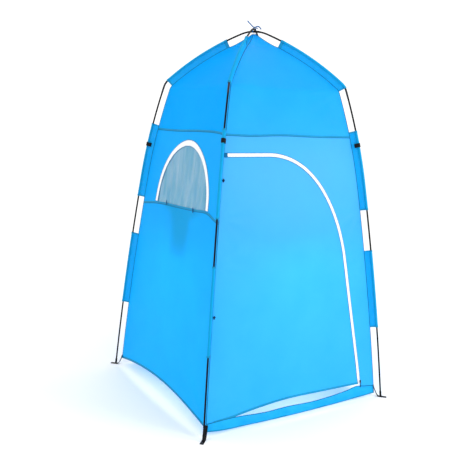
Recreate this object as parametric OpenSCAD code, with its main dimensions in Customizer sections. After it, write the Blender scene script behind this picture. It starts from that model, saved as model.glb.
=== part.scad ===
// Privacy shower tent: two crossed pole arches with a sewn cabin hung inside them.
// Origin on the ground at the middle of the base, +Z up, the door wall faces -Y, the window wall faces -X.

/* [Overall] */
// Distance between neighbouring pole feet
base_w = 1200; // [1150:10:1250]
// Height of the pole crossing
height = 2112; // [2072:10:2152]
// Distance between neighbouring poles at the upper rod joint
middle_w = 952; // [944:2:960]
// Height of the upper rod joint
middle_h = 1250; // [1240:2:1260]
// Distance between neighbouring poles at the shoulder
shoulder_w = 762; // [740:2:780]
// Height of the shoulder
shoulder_h = 1776; // [1750:2:1800]

/* [Poles] */
// Outer diameter of a pole rod
rod_d = 9.5; // [8.5:0.5:9.5]
// Bore of a pole rod
rod_bore = 4.4; // [3.6:0.1:5]
// Diameter of the elastic cord inside the rods
shock_cord_d = 2.5; // [2:0.1:3]
// Outer diameter of the ferrules that join the rods
ferrule_d = 11; // [10.8:0.1:11.2]
// Bend radius of the shoulder elbow
elbow_r = 90; // [70:5:110]
// Bend radius of the pole at the crossing
crown_r = 200; // [160:10:240]
// Lean of the pole where the crossing bend begins, from vertical
crown_lean = 68; // [64:1:70]

/* [Sleeves] */
// Distance from the pole to the corner seam of the cloth
sleeve_w = 40; // [36:1:44]
// Height of the lower sleeve's bottom end
lower_sleeve_z0 = 427; // [400:1:460]
// Height of the lower sleeve's top end
lower_sleeve_z1 = 881; // [850:1:900]
// Height of the upper sleeve's bottom end
upper_sleeve_z0 = 1114; // [1080:1:1140]
// Height of the upper sleeve's top end
upper_sleeve_z1 = 1558; // [1540:1:1580]
// Heights of the roof sleeves' bottom ends: front left, front right, rear right, rear left
roof_sleeve_heights = [1785, 1790, 1800, 1811]; // [1780:1:1813]
// Height of the roof sleeve's top end
roof_sleeve_z1 = 2044; // [2020:1:2050]
// Heights of the black bands round the upper sleeves: front left, front right, rear right, rear left
band_heights = [1500, 1478, 1478, 1434]; // [1420:1:1510]

/* [Cloth] */
// Thickness given to the cloth, measured on the diagonal
skin = 1.4; // [1.2:0.1:2]
// Height of the seam between the walls and the roof
eaves_z = 1525; // [1510:1:1535]
// Height of the hems at the corners
hem_z = 45; // [40:1:55]
// How far the side hems arch up at the middle
hem_rise = 56; // [40:1:60]
// Top of the sill band under the door
sill_z = 62; // [58:1:66]

/* [Door] */
// Height of the top of the door zip
zip_top_z = 1426; // [1410:1:1440]
// Where the top of the zip starts to curve down
zip_arch_x = -150; // [-170:1:-130]
// Upper end of the straight side of the zip
zip_side = [345, 850]; // [300:1:900]
// Lower end of the zip
zip_foot = [455, 97]; // [90:1:460]
// Width of each half of the zip tape
zip_tape_w = 9; // [8:0.5:10]
// Height of the bottom edge of the door
door_bottom_z = 105; // [100:1:110]
// Distance from the corner seam to the door's hinge line
hinge_inset = 20; // [18:1:24]
// Heights of the ties that hold the rolled door
tie_heights = [616, 1301]; // [600:1:1310]

/* [Window] */
// Half width of the arched window
window_half_w = 310; // [300:1:315]
// Height of the arched window above its sill
window_rise = 358; // [340:1:365]
// Height of the seam under the window
window_seam_z = 1104; // [1100:1:1112]
// Sideways shift of the window towards the door
window_shift = 20; // [0:1:25]
// Width of the arched white tape
window_tape_w = 30; // [20:1:32]

/* [Hidden] */
CORNERS = ["front_left", "front_right", "rear_right", "rear_left"];

sqrt2 = sqrt(2);
round_fn = 48;
arc_steps = 8;
cloth_gap = 1.5;
seam_gap = 0.4;
bend_ratio = 0.3;
black = [0.05, 0.06, 0.07];
grey_metal = [0.55, 0.57, 0.6];
sky = [0.15, 0.68, 0.98];
deep_sky = [0.1, 0.55, 0.9];
white_tape = [0.94, 0.95, 0.96];
net_grey = [0.45, 0.7, 0.82];
navy = [0.05, 0.3, 0.55];

// ---- the pole's line in the upright plane of one corner, as [distance from the middle, height] ----
foot = [base_w / sqrt2, 0];
middle = [middle_w / sqrt2, middle_h];
shoulder = [shoulder_w / sqrt2, shoulder_h];
lean_low = chord_lean(foot, middle);
lean_high = chord_lean(middle, shoulder);
lean_middle = lean_low + bend_ratio * (lean_high - lean_low);
lean_foot = 2 * lean_low - lean_middle;
lean_shoulder = 2 * lean_high - lean_middle;
upper_arch_top = height - ferrule_d / 2;
lower_arch_top = upper_arch_top - ferrule_d - 0.6;

function unit(a) = [cos(a), sin(a)];
function reverse(list) = [for (i = [len(list) - 1:-1:0]) list[i]];
// Lean from vertical, inward, of the straight line from p up to q
function chord_lean(p, q) = atan2(p[0] - q[0], q[1] - p[1]);
function crown_start(top) = [crown_r * cos(crown_lean), top - crown_r * (1 - sin(crown_lean))];
function elbow_end(a) = shoulder + elbow_r * (unit(a) - unit(lean_shoulder));
// Lean at the top of the elbow that makes the roof arc meet the crown smoothly
function roof_lean(top, a, tries) =
    tries == 0 ? a : roof_lean(top, 2 * chord_lean(elbow_end(a), crown_start(top)) - crown_lean, tries - 1);
// One arc from p to q as [centre, radius, start lean, end lean]
function arc(p, q, a0, a1) =
    let (r = norm(q - p) / (2 * sin((a1 - a0) / 2)))
    [p - r * unit(a0), r, a0, a1];
function pole_arcs(top) =
    let (a = roof_lean(top, 45, 12))
    [
        arc(foot, middle, lean_foot, lean_middle),
        arc(middle, shoulder, lean_middle, lean_shoulder),
        arc(shoulder, elbow_end(a), lean_shoulder, a),
        arc(elbow_end(a), crown_start(top), a, crown_lean),
        arc(crown_start(top), [0, top], crown_lean, 90)
    ];
function arc_z(c, a) = c[0][1] + c[1] * sin(a);
function lean_at(c, z) = asin(max(-1, min(1, (z - c[0][1]) / c[1])));

UPPER_ARCH = pole_arcs(upper_arch_top);
LOWER_ARCH = pole_arcs(lower_arch_top);
function arch_of(corner) = corner % 2 == 0 ? UPPER_ARCH : LOWER_ARCH;
function elbow_top_z(corner) = arc_z(arch_of(corner)[3], arch_of(corner)[3][2]);
function top_of(corner) = corner % 2 == 0 ? upper_arch_top : lower_arch_top;

// ---- the corner seam of the cloth, as [half width, height] ----
fabric_apex_z = lower_arch_top - ferrule_d / 2 - 3;
// Points of one arc, moved inward by d
function arc_points(c, d, a0, a1) =
    [for (i = [0:arc_steps - 1])
        let (p = c[0] + (c[1] - d) * unit(a0 + (a1 - a0) * i / arc_steps))
        [p[0] / sqrt2, p[1]]];
function seam_points(d) =
    let (roof = LOWER_ARCH[3])
    concat(
        arc_points(LOWER_ARCH[0], d, lean_foot - 0.6, lean_middle),
        arc_points(LOWER_ARCH[1], d, lean_middle, lean_shoulder),
        arc_points(LOWER_ARCH[2], d, lean_shoulder, roof[2]),
        arc_points(roof, d, roof[2], lean_at(roof, roof_sleeve_z1)),
        [[(roof[0] + (roof[1] - d) * unit(lean_at(roof, roof_sleeve_z1)))[0] / sqrt2,
          (roof[0] + (roof[1] - d) * unit(lean_at(roof, roof_sleeve_z1)))[1]]],
        [[0, fabric_apex_z - (d - sleeve_w)]]
    );
// Half width of the cloth at a height below the shoulder
function half_at(z) =
    let (c = z < arc_z(LOWER_ARCH[0], lean_middle) ? LOWER_ARCH[0] : LOWER_ARCH[1])
    (c[0][0] + sqrt(pow(c[1] - sleeve_w, 2) - pow(z - c[0][1], 2))) / sqrt2;

// ---- the door's outline in the door wall, as [x, height] ----
hinge_low_x = hinge_inset - half_at(door_bottom_z);
hinge_high_x = hinge_inset - half_at(zip_top_z);
function hinge_x(z) =
    hinge_low_x + (hinge_high_x - hinge_low_x) * (z - door_bottom_z) / (zip_top_z - door_bottom_z);
side_dir = (zip_side - zip_foot) / norm(zip_side - zip_foot);
side_normal = [side_dir[1], -side_dir[0]];
zip_reach = 310;
zip_bend = [[zip_arch_x, zip_top_z], [zip_arch_x + zip_reach, zip_top_z], zip_side + 260 * side_dir, zip_side];
zip_steps = 16;
function bezier(b, t) =
    pow(1 - t, 3) * b[0] + 3 * pow(1 - t, 2) * t * b[1] + 3 * (1 - t) * t * t * b[2] + pow(t, 3) * b[3];
function bezier_dir(b, t) =
    pow(1 - t, 2) * (b[1] - b[0]) + 2 * (1 - t) * t * (b[2] - b[1]) + t * t * (b[3] - b[2]);
function left_normal(v) = [-v[1], v[0]] / norm(v);
// The zip's line from the hinge over the top and down the side, moved outward by d
function zip_line(d) = concat(
    [[hinge_x(zip_top_z) + 4, zip_top_z + d]],
    [for (i = [0:zip_steps])
        bezier(zip_bend, i / zip_steps) + d * left_normal(bezier_dir(zip_bend, i / zip_steps))],
    [zip_foot + d * side_normal]
);

// ---- the window's outline in its wall, as [sideways, height] ----
window_fn = 72;

// ================= building blocks =================

module at_corner(i) {
    rotate([0, 0, 225 + 90 * i]) rotate([90, 0, 0]) children();
}

// Sweeps a flat shape along the pole line between two heights, one solid for each arc
arc_break = 0.05;
module along_pole(arcs, z0, z1) {
    for (c = arcs) {
        low = max(z0, arc_z(c, c[2]) + arc_break);
        high = min(z1, arc_z(c, c[3]) - (c[3] < 90 ? arc_break : 0));
        if (high > low + 0.5) {
            a0 = lean_at(c, low);
            a1 = lean_at(c, high);
            translate([c[0][0], c[0][1], 0])
                rotate([0, 0, a0])
                    rotate_extrude(angle = a1 - a0, $fn = ceil(360 * arc_steps / (a1 - a0)))
                        translate([c[1], 0]) children();
        }
    }
}

module ring(outer_d, inner_d) {
    difference() {
        circle(d = outer_d, $fn = round_fn);
        circle(d = inner_d, $fn = round_fn);
    }
}

module rod(corner, z0, z1) {
    color(black) at_corner(corner) along_pole(arch_of(corner), z0, z1) ring(rod_d, rod_bore);
}

// A sleeve is a cloth tube round the pole with a fin back to the corner seam
sleeve_bore = ferrule_d + 0.8;
sleeve_d = sleeve_bore + 1.6;
module sleeve(corner, z0, z1) {
    color(deep_sky) at_corner(corner) along_pole(arch_of(corner), z0, z1) {
        ring(sleeve_d, sleeve_bore);
        translate([-sleeve_w + cloth_gap, -skin / 2])
            square([sleeve_w - cloth_gap - sleeve_bore / 2 - 0.4, skin]);
    }
}

// Curved sheet that bows like the poles, between two depths inward from the pole line
module sheet(depth0, depth1) {
    outside = [for (p = seam_points(depth0)) [-p[0], p[1]]];
    inside = [for (p = seam_points(depth1)) [-p[0], p[1]]];
    rotate([90, 0, 90])
        linear_extrude(height = 1.2 * base_w, center = true)
            polygon(concat(outside, reverse(inside)));
}

// Everything inside the corner seams, cut off between two heights
module between_seams(z0, z1, depth = sleeve_w) {
    right_edge = [for (p = seam_points(depth)) [p[0] - min(cloth_gap, p[0]), p[1]]];
    left_edge = [for (p = seam_points(depth)) [min(cloth_gap, p[0]) - p[0], p[1]]];
    rotate([90, 0, 0])
        linear_extrude(height = base_w)
            intersection() {
                polygon(concat(right_edge, reverse([for (i = [0:len(left_edge) - 2]) left_edge[i]])));
                translate([-base_w, z0]) square([2 * base_w, z1 - z0]);
            }
}

module upright(shape_depth = base_w) {
    rotate([90, 0, 0]) linear_extrude(height = shape_depth) children();
}

// Turns a wall built as the door wall to face another side
module on_side(i) {
    rotate([0, 0, 90 * i]) children();
}

// Rise of the side hems, cut away below a shallow arch
module hem_arch() {
    half = half_at(hem_z);
    r = (half * half + hem_rise * hem_rise) / (2 * hem_rise);
    translate([0, 0, hem_z + hem_rise - r])
        rotate([90, 0, 0]) cylinder(r = r, h = base_w, $fn = 720);
}

module plain_wall(z0, z1) {
    color(sky) difference() {
        intersection() {
            sheet(sleeve_w, sleeve_w + skin);
            between_seams(z0, z1);
        }
        hem_arch();
    }
}

module roof_panel(side) {
    color(sky) on_side(side) intersection() {
        sheet(sleeve_w, sleeve_w + skin);
        between_seams(eaves_z + seam_gap, height, sleeve_w + skin);
    }
}

// ================= poles =================

joint_low_z = 650;
joint_high_z = middle_h;
joint_gap = 0.4;
rod_foot_z = 9;
insert = 40;

module leg_ferrules() {
    color(black)
        for (i = [0:3], z = [joint_low_z, joint_high_z])
            at_corner(i) along_pole(arch_of(i), z - insert, z + insert) ring(ferrule_d, rod_d + 0.2);
}

elbow_past_bend = 2;
module shoulder_elbows() {
    color(grey_metal)
        for (i = [0:3]) {
            roof = arch_of(i)[3];
            at_corner(i) along_pole(arch_of(i), shoulder_h - insert, arc_z(roof, roof[2] + elbow_past_bend))
                ring(ferrule_d, rod_d + 0.2);
        }
}

crown_ferrule_lean = 80;
module crown_ferrules() {
    color(black)
        for (i = [0:3])
            at_corner(i) along_pole(arch_of(i), arc_z(arch_of(i)[4], crown_ferrule_lean), top_of(i))
                ring(ferrule_d, rod_d + 0.2);
}

tip_pin_d = 4.4;
tip_top_z = 34;
tip_disc_z = [5, 8.6];
module pole_tips() {
    color(black)
        for (i = [0:3])
            at_corner(i) {
                along_pole(arch_of(i), tip_disc_z[1] - 1, tip_top_z) ring(ferrule_d + 1.4, rod_d + 0.2);
                translate([foot[0], 0, 0])
                    rotate([-90, 0, 0]) cylinder(d = tip_pin_d, h = tip_disc_z[1], $fn = round_fn);
                translate([foot[0], tip_disc_z[0], 0])
                    rotate([-90, 0, 0])
                        cylinder(d = ferrule_d + 1.4, h = tip_disc_z[1] - tip_disc_z[0], $fn = round_fn);
            }
}

// One elastic cord runs through each arch, from foot to foot
module shock_cords() {
    color(white_tape)
        for (i = [0:3])
            at_corner(i) along_pole(arch_of(i), rod_foot_z + 1, top_of(i) - 0.1)
                circle(d = shock_cord_d, $fn = round_fn);
}

// ================= corner cloth and feet =================

band_h = 22;
band_in = 19;
band_gap = 0.3;
band_t = 1.9;
// A band wraps the sleeve's tube and lets its fin out through a slot
module sleeve_bands() {
    hole = sleeve_d + 2 * band_gap;
    color(black)
        for (i = [0:3])
            at_corner(i) along_pole(arch_of(i), band_heights[i] - band_h / 2, band_heights[i] + band_h / 2)
                difference() {
                    translate([-band_in - band_t, -hole / 2 - band_t])
                        square([band_in + hole / 2 + 2 * band_t, hole + 2 * band_t]);
                    translate([-band_in, -hole / 2]) square([band_in + hole / 2, hole]);
                    translate([-band_in - 2 * band_t, -skin / 2 - band_gap])
                        square([3 * band_t, skin + 2 * band_gap]);
                }
}

strap_w = 20;
strap_t = 2.4;
strap_out = 34;
peg_out = 20;
eyelet_d = 13;
peg_hole_d = 8;
tip_hole_d = 5.2;
eyelet_h = 3.2;
strap_inner = (half_at(hem_z) + cloth_gap) * sqrt2;
module foot_straps() {
    color(black)
        for (i = [0:3])
            at_corner(i)
                difference() {
                    translate([0, 0, -strap_w / 2])
                        linear_extrude(height = strap_w)
                            polygon([
                                [foot[0] + strap_out, 0], [foot[0] + strap_out, strap_t],
                                [foot[0] - 15, strap_t], [strap_inner + strap_t, hem_z + 14],
                                [strap_inner, hem_z + 14], [foot[0] - 17, 0]
                            ]);
                    for (out = [0, peg_out])
                        translate([foot[0] + out, -1, 0])
                            rotate([-90, 0, 0]) cylinder(d = eyelet_d + 0.1, h = strap_t + 2, $fn = round_fn);
                }
}

module foot_eyelets() {
    color(grey_metal)
        for (i = [0:3], hole = [[0, tip_hole_d], [peg_out, peg_hole_d]])
            at_corner(i)
                translate([foot[0] + hole[0], 0, 0])
                    rotate([-90, 0, 0])
                        difference() {
                            cylinder(d = eyelet_d, h = eyelet_h, $fn = round_fn);
                            translate([0, 0, -1]) cylinder(d = hole[1], h = eyelet_h + 2, $fn = round_fn);
                        }
}

// ================= walls =================

module door_opening() {
    upright() polygon(concat(
        [[hinge_x(0) - 3, -10], [hinge_x(zip_top_z) - 3, zip_top_z + zip_tape_w + seam_gap]],
        [for (i = [1:zip_steps + 2]) zip_line(zip_tape_w + seam_gap)[i]],
        [zip_foot - 200 * side_dir + (zip_tape_w + seam_gap) * side_normal]
    ));
}

module front_wall() {
    color(sky) difference() {
        intersection() {
            sheet(sleeve_w, sleeve_w + skin);
            between_seams(sill_z + seam_gap, eaves_z);
        }
        door_opening();
    }
}

module sill_band() {
    color(sky) intersection() {
        sheet(sleeve_w, sleeve_w + skin);
        between_seams(3, sill_z);
    }
}

module window_arch(d, z0) {
    intersection() {
        translate([window_shift, window_seam_z])
            scale([1, (window_rise + d) / (window_half_w + d)]) circle(r = window_half_w + d, $fn = window_fn);
        translate([-base_w, z0]) square([2 * base_w, height]);
    }
}

module window_wall_upper() {
    on_side(3) color(sky) difference() {
        intersection() {
            sheet(sleeve_w, sleeve_w + skin);
            between_seams(window_seam_z, eaves_z);
        }
        upright() window_arch(window_tape_w / 2 + seam_gap, window_seam_z - 1);
    }
}

module window_wall_lower() {
    on_side(3) plain_wall(0, window_seam_z - seam_gap);
}

module window_zip_tape() {
    on_side(3) color(white_tape) intersection() {
        sheet(sleeve_w - 1, sleeve_w + skin);
        upright() difference() {
            window_arch(window_tape_w / 2, window_seam_z + 1);
            window_arch(-window_tape_w / 2, window_seam_z - 1);
        }
    }
}

module window_mesh() {
    on_side(3) color(net_grey) intersection() {
        sheet(sleeve_w, sleeve_w + skin);
        upright() window_arch(-window_tape_w / 2 - seam_gap, window_seam_z + 1);
    }
}

window_half = half_at(window_seam_z);
flap_inset = 8;
flap_t = 1;
flap_gap = 2;
module window_flap() {
    on_side(3) color(sky)
        translate([0, flap_inset + flap_t / 2 - window_half, 0])
            upright(flap_t)
                intersection() {
                    translate([window_shift, window_seam_z])
                        scale([1, (window_rise - 14) / (window_half_w - 14)])
                            circle(r = window_half_w - 14, $fn = window_fn);
                    translate([-base_w, 0]) square([2 * base_w, window_seam_z - flap_gap]);
                }
}

window_slider_x = window_shift - window_half_w + 1;
window_slider_z = window_seam_z + 26;
slider_w = 9;
slider_h = 15;
slider_t = 5;
window_slider_foot = window_slider_z - slider_h / 2;
window_slider_y = 3.2 - half_at(window_slider_foot);
module window_zip_slider() {
    on_side(3) color(grey_metal)
        translate([window_slider_x - slider_w / 2, window_slider_y, window_slider_foot])
            cube([slider_w, slider_t, slider_h]);
}

pull_w = 5;
pull_t = 1.6;
pull_gap = 0.4;
window_pull = [pull_w, pull_t, 30];
module window_zip_pull() {
    on_side(3) color(navy)
        translate([window_slider_x - pull_w / 2, window_slider_y + slider_t + pull_gap, window_slider_z - 32])
            cube(window_pull);
}

loop_out = 163;
loop = [6, 3.6, 30];
loop_wall = 1;
loop_end = 5;
loop_stand = 4.2;
module window_loops() {
    on_side(3) color(navy)
        for (side = [-1, 1])
            translate([window_shift + side * loop_out - loop[0] / 2,
                       -half_at(window_seam_z) - loop_stand, window_seam_z - 4])
                difference() {
                    cube(loop);
                    translate([-1, loop_wall, loop_end])
                        cube([loop[0] + 2, loop[1] - 2 * loop_wall, loop[2] - 2 * loop_end]);
                }
}

// ================= door =================

module door_panel() {
    color(sky) intersection() {
        sheet(sleeve_w, sleeve_w + skin);
        upright() polygon(concat(
            [[hinge_x(door_bottom_z) + 3, door_bottom_z],
             [hinge_x(zip_top_z) + 3, zip_top_z - zip_tape_w - seam_gap]],
            [for (i = [1:zip_steps + 1]) zip_line(-zip_tape_w - seam_gap)[i]],
            [zip_foot + (door_bottom_z - zip_foot[1]) / side_dir[1] * side_dir
                - (zip_tape_w + seam_gap) * side_normal]
        ));
    }
}

module zip_tape(d0, d1, proud) {
    color(white_tape) intersection() {
        sheet(sleeve_w - proud, sleeve_w + skin);
        upright() polygon(concat(zip_line(d0), reverse(zip_line(d1))));
    }
}

// Slider and pull ride on the wall side of the zip, clear of the opening door
slider_side = 6.5;
slider_lift = 4.2;
slider_foot = zip_foot + slider_side * side_normal + 14 * side_dir;
slider_y = -half_at(slider_foot[1]) - slider_lift;
door_pull_gap = 0.5;
door_pull_h = 36;
module door_zip_slider() {
    color(grey_metal)
        translate([slider_foot[0], slider_y, slider_foot[1]])
            rotate([0, -atan2(-side_dir[0], side_dir[1]), 0])
                translate([-slider_w / 2, -slider_t, -slider_h / 2])
                    cube([slider_w, slider_t, slider_h]);
}

module door_zip_pull() {
    color(black)
        translate([slider_foot[0] - pull_w / 2, slider_y - slider_t - door_pull_gap - pull_t,
                   slider_foot[1] - door_pull_h])
            cube([pull_w, pull_t, door_pull_h]);
}

// A tie is a short webbing strap sewn at the corner seam with a toggle near its root
tie_len = 15;
tie_h = 8;
tie_t = 1.6;
tie_out = 3.4;
toggle_d = 6;
toggle_h = 18;
toggle_in = 6;
module door_tie(z) {
    seam = half_at(z);
    color(navy) translate([-seam + 1, -seam - tie_out, z - tie_h / 2]) cube([tie_len, tie_t, tie_h]);
    color(black)
        translate([-seam + toggle_in, -seam - tie_out - toggle_d / 2, z - toggle_h / 2])
            cylinder(d = toggle_d, h = toggle_h, $fn = round_fn);
}

// ================= crossing =================

tie_clear = 10.2;
tie_band = 1.6;
tie_w = 5;
tie_hole_h = upper_arch_top - lower_arch_top + ferrule_d + 1;
knot_d = 11;
knot_z = upper_arch_top + ferrule_d / 2 + tie_band + knot_d / 2 - 1;
module apex_tie_knot() {
    color(navy) {
        rotate([90, 0, 0])
            translate([0, 0, -tie_w / 2])
                linear_extrude(height = tie_w)
                    difference() {
                        translate([-tie_clear - tie_band, lower_arch_top - ferrule_d / 2 - 0.5 - tie_band])
                            square([2 * (tie_clear + tie_band), tie_hole_h + 2 * tie_band]);
                        translate([-tie_clear, lower_arch_top - ferrule_d / 2 - 0.5])
                            square([2 * tie_clear, tie_hole_h]);
                    }
        translate([0, 0, knot_z]) sphere(d = knot_d, $fn = round_fn);
    }
}

apex_web = [3, 10, 5.4];
module apex_webbing() {
    color(black)
        translate([tie_clear + tie_band + 0.5, -apex_web[1] / 2, fabric_apex_z + 0.5])
            cube(apex_web);
}

// Points of the two tails, from the knot to the free ends
TAIL_LONG = [[-5, 4, 2120], [-9, 9, 2126], [-14, 14, 2133], [-19, 20, 2140], [-23, 26, 2147], [-27, 31, 2154]];
TAIL_SHORT = [[6, -4, 2120], [12, -7, 2123], [18, -10, 2124], [24, -12, 2122], [29, -14, 2118],
    [33, -16, 2113], [36, -17, 2108]];
tail_d = 6;
tail_sides = 8;
// A tube of rings square to the route, closed at both ends
module tail(route) {
    last = len(route) - 1;
    rings = [for (i = [0:last])
        let (
            v = route[min(i + 1, last)] - route[max(i - 1, 0)],
            t = v / norm(v),
            u = cross(t, [0, 0, 1]) / norm(cross(t, [0, 0, 1])),
            w = cross(t, u)
        )
        for (k = [0:tail_sides - 1])
            route[i] + tail_d / 2 * (cos(360 * k / tail_sides) * u + sin(360 * k / tail_sides) * w)];
    sides = [for (i = [0:last - 1], k = [0:tail_sides - 1])
        let (n = (k + 1) % tail_sides, a = i * tail_sides, b = a + tail_sides)
        [a + k, b + k, b + n, a + n]];
    caps = [[for (k = [0:tail_sides - 1]) k], [for (k = [tail_sides - 1:-1:0]) last * tail_sides + k]];
    color(navy) polyhedron(points = rings, faces = concat(sides, caps), convexity = 4);
}

// ================= the model =================

for (i = [0:3]) {
    rod(i, rod_foot_z, joint_low_z);
    rod(i, joint_low_z + joint_gap, joint_high_z);
    rod(i, joint_high_z + joint_gap, shoulder_h);
    rod(i, elbow_top_z(i), top_of(i));
    sleeve(i, lower_sleeve_z0, lower_sleeve_z1);
    sleeve(i, upper_sleeve_z0, upper_sleeve_z1);
    sleeve(i, roof_sleeve_heights[i], roof_sleeve_z1);  // roof_sleeves
}
leg_ferrules();
shoulder_elbows();
crown_ferrules();
pole_tips();
shock_cords();
sleeve_bands();
foot_straps();
foot_eyelets();
roof_panel(0);  // front_roof_panel
roof_panel(1);  // right_roof_panel
roof_panel(2);  // rear_roof_panel
roof_panel(3);  // left_roof_panel
front_wall();
on_side(1) plain_wall(0, eaves_z);  // right_wall
on_side(2) plain_wall(0, eaves_z);  // rear_wall
window_wall_upper();
window_wall_lower();
sill_band();
door_panel();
zip_tape(seam_gap, zip_tape_w, 0.8);  // door_zip_tape_wall
zip_tape(-zip_tape_w, -seam_gap, 0.8);  // door_zip_tape_door
door_zip_slider();
door_zip_pull();
door_tie(tie_heights[1]);  // door_tie_upper
door_tie(tie_heights[0]);  // door_tie_lower
window_mesh();
window_zip_tape();
window_flap();
window_zip_slider();
window_zip_pull();
window_loops();
apex_tie_knot();
apex_webbing();
tail(TAIL_LONG);  // apex_tail_long
tail(TAIL_SHORT);  // apex_tail_short
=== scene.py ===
"""Privacy shower tent: the cloth, tapes, webbing, materials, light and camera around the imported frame."""
import math
import random

import bpy
import numpy as np
from mathutils import Matrix, Vector


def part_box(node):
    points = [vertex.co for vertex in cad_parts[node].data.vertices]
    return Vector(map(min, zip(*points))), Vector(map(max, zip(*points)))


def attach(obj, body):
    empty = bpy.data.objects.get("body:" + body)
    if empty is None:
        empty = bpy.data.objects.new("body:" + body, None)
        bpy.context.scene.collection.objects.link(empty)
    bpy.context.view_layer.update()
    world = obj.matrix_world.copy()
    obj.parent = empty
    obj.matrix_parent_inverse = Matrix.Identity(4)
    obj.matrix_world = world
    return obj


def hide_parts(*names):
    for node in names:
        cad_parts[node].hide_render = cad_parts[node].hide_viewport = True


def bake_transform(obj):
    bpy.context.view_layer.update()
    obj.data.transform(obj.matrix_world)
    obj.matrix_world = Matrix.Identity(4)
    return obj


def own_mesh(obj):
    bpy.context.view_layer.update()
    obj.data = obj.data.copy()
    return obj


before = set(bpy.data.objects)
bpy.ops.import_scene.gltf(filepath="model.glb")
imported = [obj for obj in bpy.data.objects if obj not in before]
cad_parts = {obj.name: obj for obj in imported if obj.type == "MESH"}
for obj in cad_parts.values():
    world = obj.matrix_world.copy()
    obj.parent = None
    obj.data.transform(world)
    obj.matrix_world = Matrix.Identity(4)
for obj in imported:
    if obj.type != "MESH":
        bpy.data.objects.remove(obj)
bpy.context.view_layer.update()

# ---------------- dimensions, in metres, as in the CAD source
BASE_W, HEIGHT = 1.2, 2.112
MIDDLE_W, MIDDLE_H = 0.952, 1.25
SHOULDER_W, SHOULDER_H = 0.762, 1.776
FERRULE_D, ELBOW_R, CROWN_R, CROWN_LEAN = 0.011, 0.09, 0.2, 68
MIDDLE_BEND = 0.3                                  # the share of the legs' bend that lies below their middle
CROSSING_GAP, CLOTH_DROP = 0.0006, 0.003           # between the two arches, and from them to the cloth
SLEEVE_W = 0.04
LOWER_SLEEVE, UPPER_SLEEVE, ROOF_SLEEVE_TOP = (0.427, 0.881), (1.114, 1.558), 2.044
ROOF_SLEEVE_BOTTOMS = (1.785, 1.790, 1.800, 1.811)
BAND_HEIGHTS, BAND_H = (1.500, 1.478, 1.478, 1.434), 0.022
EAVES_Z, HEM_Z, HEM_RISE = 1.525, 0.045, 0.056
ZIP_TOP_Z, ZIP_ARCH_X, ZIP_REACH = 1.426, -0.150, 0.310
ZIP_SIDE, ZIP_FOOT = np.array([0.345, 0.850]), np.array([0.455, 0.097])
ZIP_TAPE = 0.009
DOOR_BOTTOM_Z, HINGE_INSET = 0.105, 0.020
TIE_HEIGHTS = {"tie_lower": 0.616, "tie_upper": 1.301}
WINDOW_HALF_W, WINDOW_RISE, WINDOW_SEAM_Z, WINDOW_SHIFT = 0.310, 0.358, 1.104, 0.020
WINDOW_TAPE = 0.030
TUCK = 0.005                                       # how far a cloth runs in under the tape that holds it
SQRT2 = math.sqrt(2)
CORNERS = ["front_left", "front_right", "rear_right", "rear_left"]
SIDES = ["front", "right", "rear", "left"]
FRONT, RIGHT, REAR, LEFT = range(4)


# ---------------- paths
def at(x, z):
    """Points from their two coordinates, of which one may be a single number."""
    return np.stack(np.broadcast_arrays(x, z), axis=-1)


def run_length(path):
    """How far along a path each of its points lies."""
    return np.concatenate([[0], np.cumsum(np.linalg.norm(np.diff(path, axis=0), axis=1))])


def spaced(path, n):
    """The same path through n evenly spaced points."""
    path = np.asarray(path, float)
    s = run_length(path)
    t = np.linspace(0, s[-1], n)
    return np.stack([np.interp(t, s, path[:, k]) for k in range(path.shape[1])], axis=1)


def resample(path, step):
    """The same path through points about one step apart."""
    path = np.asarray(path, float)
    return spaced(path, max(2, int(round(run_length(path)[-1] / step))) + 1)


def path_normals(path):
    """The directions square to a flat path, to the left of its run."""
    t = np.gradient(path, axis=0)
    t = t / np.linalg.norm(t, axis=1)[:, None]
    return at(-t[:, 1], t[:, 0])


def offset_path(path, d):
    return path + d * path_normals(path)


def curve_through(points):
    """A smooth function through (x, z) points."""
    px, pz = np.array(points, float).T
    slopes = np.gradient(pz, px)

    def value(x):
        k = np.clip(np.searchsorted(px, x) - 1, 0, len(px) - 2)
        w = px[k + 1] - px[k]
        t = np.clip((x - px[k]) / w, 0, 1)
        return ((2 * t ** 3 - 3 * t ** 2 + 1) * pz[k] + (t ** 3 - 2 * t ** 2 + t) * w * slopes[k]
                + (-2 * t ** 3 + 3 * t ** 2) * pz[k + 1] + (t ** 3 - t ** 2) * w * slopes[k + 1])
    return value


# ---------------- the pole line, in a corner's upright plane
def unit(a):
    """The direction square to a pole that leans by a degrees, pointing outwards."""
    return np.array([math.cos(math.radians(a)), math.sin(math.radians(a))])


def chord_lean(p, q):
    """How far the line from p up to q leans inwards, in degrees."""
    return math.degrees(math.atan2(p[0] - q[0], q[1] - p[1]))


def arc(p, q, a0, a1):
    """An arc from p to q as centre, radius, start lean, end lean."""
    r = np.linalg.norm(q - p) / (2 * math.sin(math.radians((a1 - a0) / 2)))
    return p - r * unit(a0), r, a0, a1


FOOT = np.array([BASE_W / SQRT2, 0.0])
MIDDLE = np.array([MIDDLE_W / SQRT2, MIDDLE_H])
SHOULDER = np.array([SHOULDER_W / SQRT2, SHOULDER_H])
LEAN_LOW, LEAN_HIGH = chord_lean(FOOT, MIDDLE), chord_lean(MIDDLE, SHOULDER)
LEAN_MIDDLE = LEAN_LOW + MIDDLE_BEND * (LEAN_HIGH - LEAN_LOW)
LEAN_FOOT, LEAN_SHOULDER = 2 * LEAN_LOW - LEAN_MIDDLE, 2 * LEAN_HIGH - LEAN_MIDDLE
UPPER_TOP = HEIGHT - FERRULE_D / 2
LOWER_TOP = UPPER_TOP - FERRULE_D - CROSSING_GAP
FABRIC_APEX_Z = LOWER_TOP - FERRULE_D / 2 - CLOTH_DROP


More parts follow.
